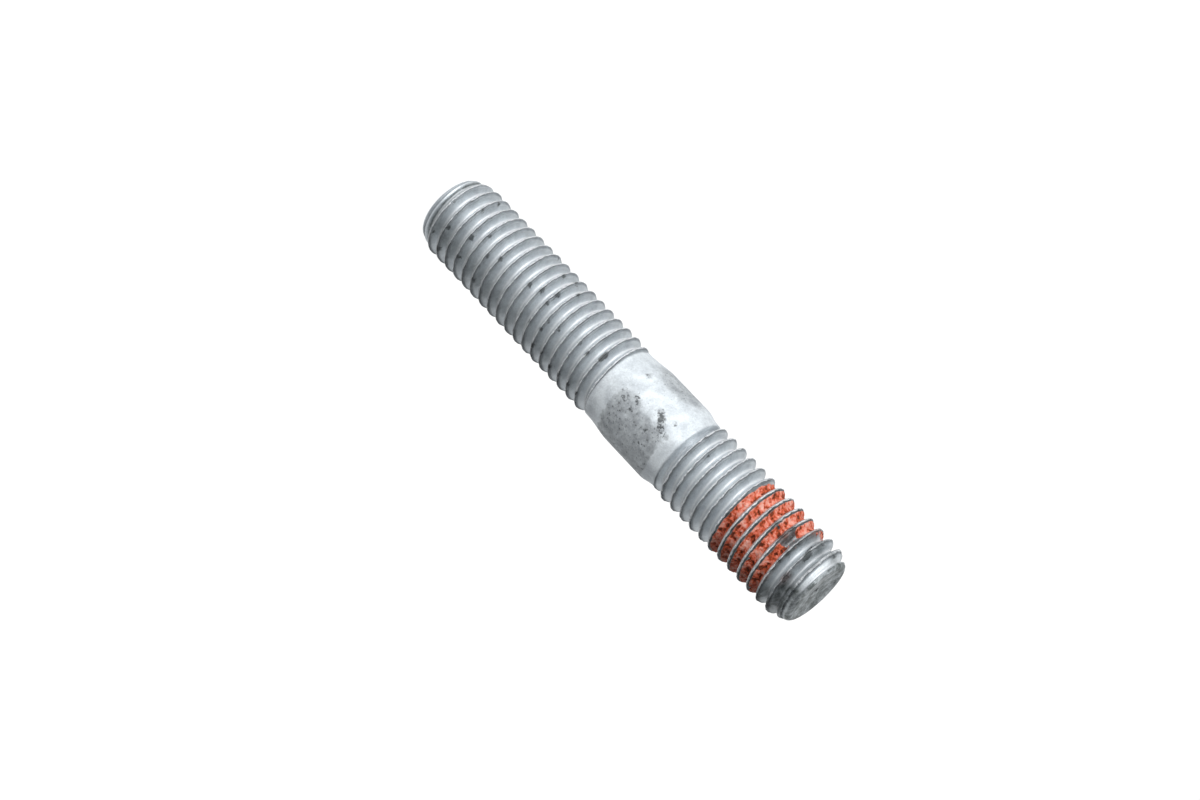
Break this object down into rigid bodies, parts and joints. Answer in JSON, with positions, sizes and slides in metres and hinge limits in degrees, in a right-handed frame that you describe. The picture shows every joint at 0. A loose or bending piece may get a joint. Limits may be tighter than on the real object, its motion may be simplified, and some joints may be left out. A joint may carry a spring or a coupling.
{
  "type": "stud bolt",
  "caption": "Double-ended steel stud bolt with a rolled thread at each end, a plain shank between them and a dry thread-locking patch on the tap end.",
  "frame": {"origin": "centre of the nut end's flat face, on which the stud stands", "axes": "+Z along the stud's axis, from the nut end to the tap end; X and Y are free"},
  "size_m": [0.01, 0.01, 0.0609],
  "materials": {
    "zinc_flake_steel": "matt silver-grey zinc-flake coat on rolled steel",
    "dry_adhesive": "dried orange-red thread-locking adhesive, rough and pitted"
  },
  "bodies": {
    "root": {"stud": "zinc_flake_steel", "thread_lock_patch": "dry_adhesive"}
  },
  "joints": []
}
